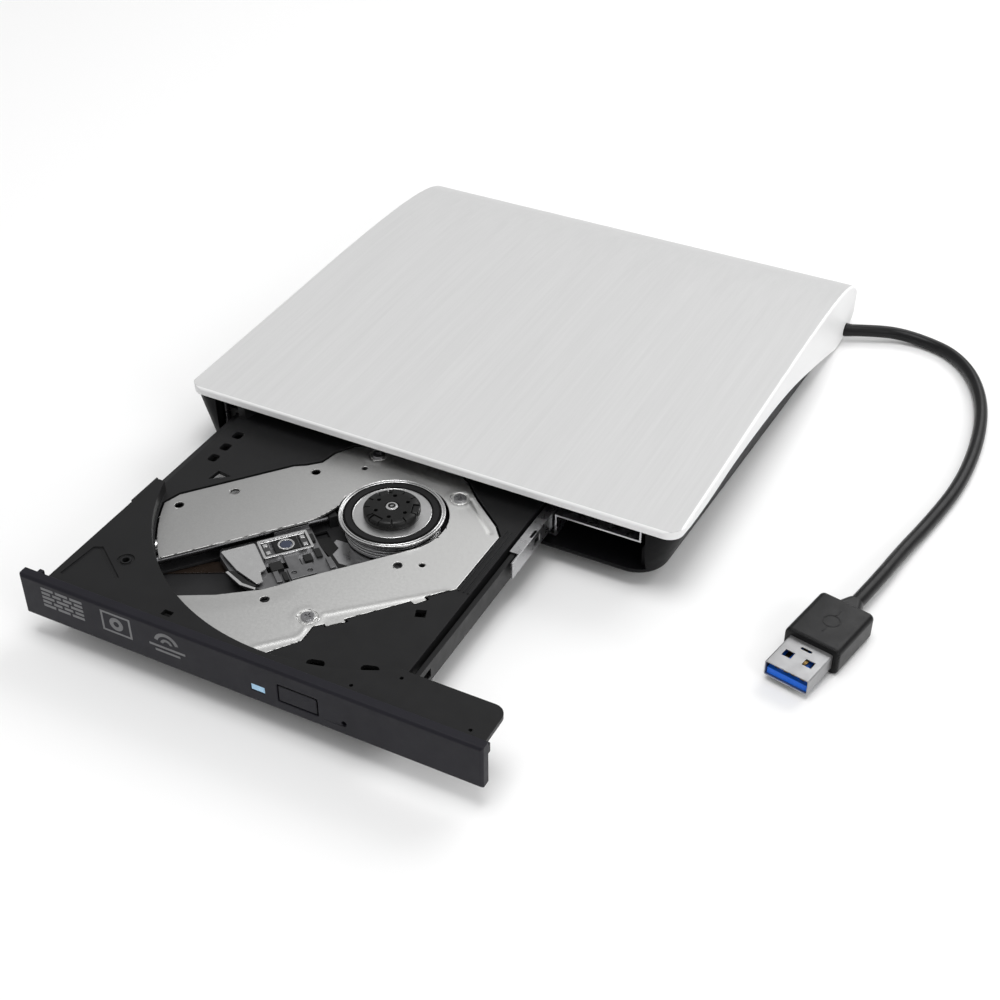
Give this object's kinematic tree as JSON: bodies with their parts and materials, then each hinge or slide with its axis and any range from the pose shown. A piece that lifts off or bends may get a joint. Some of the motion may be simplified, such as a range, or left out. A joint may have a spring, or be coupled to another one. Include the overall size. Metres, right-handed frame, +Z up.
{
  "type": "external optical drive",
  "caption": "Slim external optical disc drive with its disc tray partly open, a wedge-shaped two-part case and a short captive USB cable.",
  "frame": {"origin": "on the table, under the middle of the box of the enclosure and the open tray together, without the free cable and its plug", "axes": "+X to the right seen from the front, +Y from the tray's bezel to the rear of the enclosure, +Z up"},
  "size_m": [0.2029, 0.2346, 0.0231],
  "materials": {
    "amber_flex": "film",
    "bezel_black": "fine grain",
    "black_shell": "fine texture",
    "black_tray": "smooth satin",
    "bright_steel": "polished",
    "cable_rubber": "satin",
    "chip_black": "moulded",
    "connector_black": "moulded",
    "copper_stator": "enamelled windings",
    "damper_rubber": "matte",
    "dark_sheet": "black coated sheet",
    "deck_steel": "satin pressed sheet",
    "feet_rubber": "matte",
    "gold_contacts": "gold plated",
    "green_board": "solder mask",
    "holder_black": "moulded",
    "insert_blue": "moulded",
    "led_white": "translucent",
    "lens_glass": "coated",
    "light_grey_cover": "white moulding, its top finely brushed satin light grey",
    "magnet_grey": "sintered",
    "plug_black": "satin",
    "ring_rubber": "matte",
    "rotor_steel": "drawn, dark",
    "screw_steel": "machined",
    "shell_steel": "bright nickel",
    "sled_alloy": "die cast",
    "table_black": "smooth",
    "table_steel": "turned, bright rim",
    "white_nylon": "moulded",
    "zinc_steel": "satin, zinc plated"
  },
  "bodies": {
    "enclosure": {"top_cover": "light_grey_cover", "bottom_cover": "black_shell", "rubber_feet": "feet_rubber", "cover_screws": "screw_steel", "drive_chassis": "zinc_steel", "drive_top_plate": "zinc_steel", "main_board": "green_board", "main_board_chips": "chip_black", "flex_cable": "amber_flex", "drive_connector": "connector_black", "bridge_board": "green_board", "bridge_chips": "chip_black", "rail_guides": "connector_black", "cable_gland": "cable_rubber", "usb_cable": "cable_rubber", "plug_strain_relief": "cable_rubber", "usb_plug_body": "plug_black", "usb_plug_shell": "shell_steel", "usb_plug_insert": "insert_blue", "usb_plug_contacts": "gold_contacts"},
    "slide_rails": {"left_slide_rail": "dark_sheet", "right_slide_rail": "zinc_steel"},
    "tray_unit": {"tray": "black_tray", "tray_under_cover": "dark_sheet", "tray_screws": "screw_steel", "bezel": "bezel_black", "led_window": "led_white", "front_board": "green_board", "eject_switch": "connector_black", "latch_solenoid": "copper_stator", "deck_plate": "deck_steel", "deck_screws": "screw_steel", "rubber_dampers": "damper_rubber", "traverse_frame": "dark_sheet", "main_guide_rod": "bright_steel", "sub_guide_rod": "bright_steel", "sled_motor": "bright_steel", "pickup_flex": "amber_flex", "spindle_stator": "copper_stator"},
    "spindle": {"spindle_rotor": "rotor_steel", "rotor_magnet": "magnet_grey", "spindle_shaft": "bright_steel", "turntable": "table_steel", "turntable_ring": "ring_rubber", "disc_chuck": "table_black", "chuck_claws": "holder_black"},
    "pickup_sled": {"sled_base": "sled_alloy", "sled_shield": "bright_steel", "actuator_yoke": "bright_steel", "actuator_magnets": "magnet_grey", "laser_holder": "sled_alloy", "screw_follower": "white_nylon"},
    "lens": {"lens_holder": "holder_black", "objective_lens": "lens_glass"},
    "lead_screw": {"lead_screw": "bright_steel"},
    "eject_button": {"eject_button": "bezel_black"},
    "latch": {"latch_lever": "white_nylon"}
  },
  "joints": [
    {"name": "tray_slide", "type": "slide", "parent": "enclosure", "child": "tray_unit", "axis": [0, -1, 0], "range_m": [-0.0835, 0.045]},
    {"name": "rail_slide", "type": "slide", "parent": "enclosure", "child": "slide_rails", "axis": [0, -1, 0], "range_m": [-0.0502, 0.0271]},
    {"name": "spindle_spin", "type": "hinge", "parent": "tray_unit", "child": "spindle", "pos_m": [0.002, -0.05125, 0.0161], "axis": [0, 0, 1], "continuous": true},
    {"name": "pickup_travel", "type": "slide", "parent": "tray_unit", "child": "pickup_sled", "axis": [-0.6494, -0.7604, 0], "range_m": [-0.0045, 0.029]},
    {"name": "lead_screw_turn", "type": "hinge", "parent": "tray_unit", "child": "lead_screw", "pos_m": [-0.0091, -0.04177, 0.012], "axis": [-0.6494, -0.7604, 0], "range_deg": [-560, 3500]},
    {"name": "lens_focus", "type": "slide", "parent": "pickup_sled", "child": "lens", "axis": [0, 0, 1], "range_m": [-0.0003, 0.0003], "stiffness_N_per_m": 40},
    {"name": "eject_button_press", "type": "slide", "parent": "tray_unit", "child": "eject_button", "axis": [0, 1, 0], "range_m": [0, 0.0006], "stiffness_N_per_m": 400, "springref_m": -0.0005},
    {"name": "latch_swing", "type": "hinge", "parent": "tray_unit", "child": "latch", "pos_m": [0.0305, -0.09525, 0.0109], "axis": [0, 0, -1], "range_deg": [0, 8], "stiffness_Nm_per_rad": 0.02, "springref_deg": -2.86}
  ],
  "couplings": [
    {"joint": "rail_slide", "follows": "tray_slide", "ratio": 0.6},
    {"joint": "lead_screw_turn", "follows": "pickup_travel", "rad_per_m": 2094.4}
  ]
}
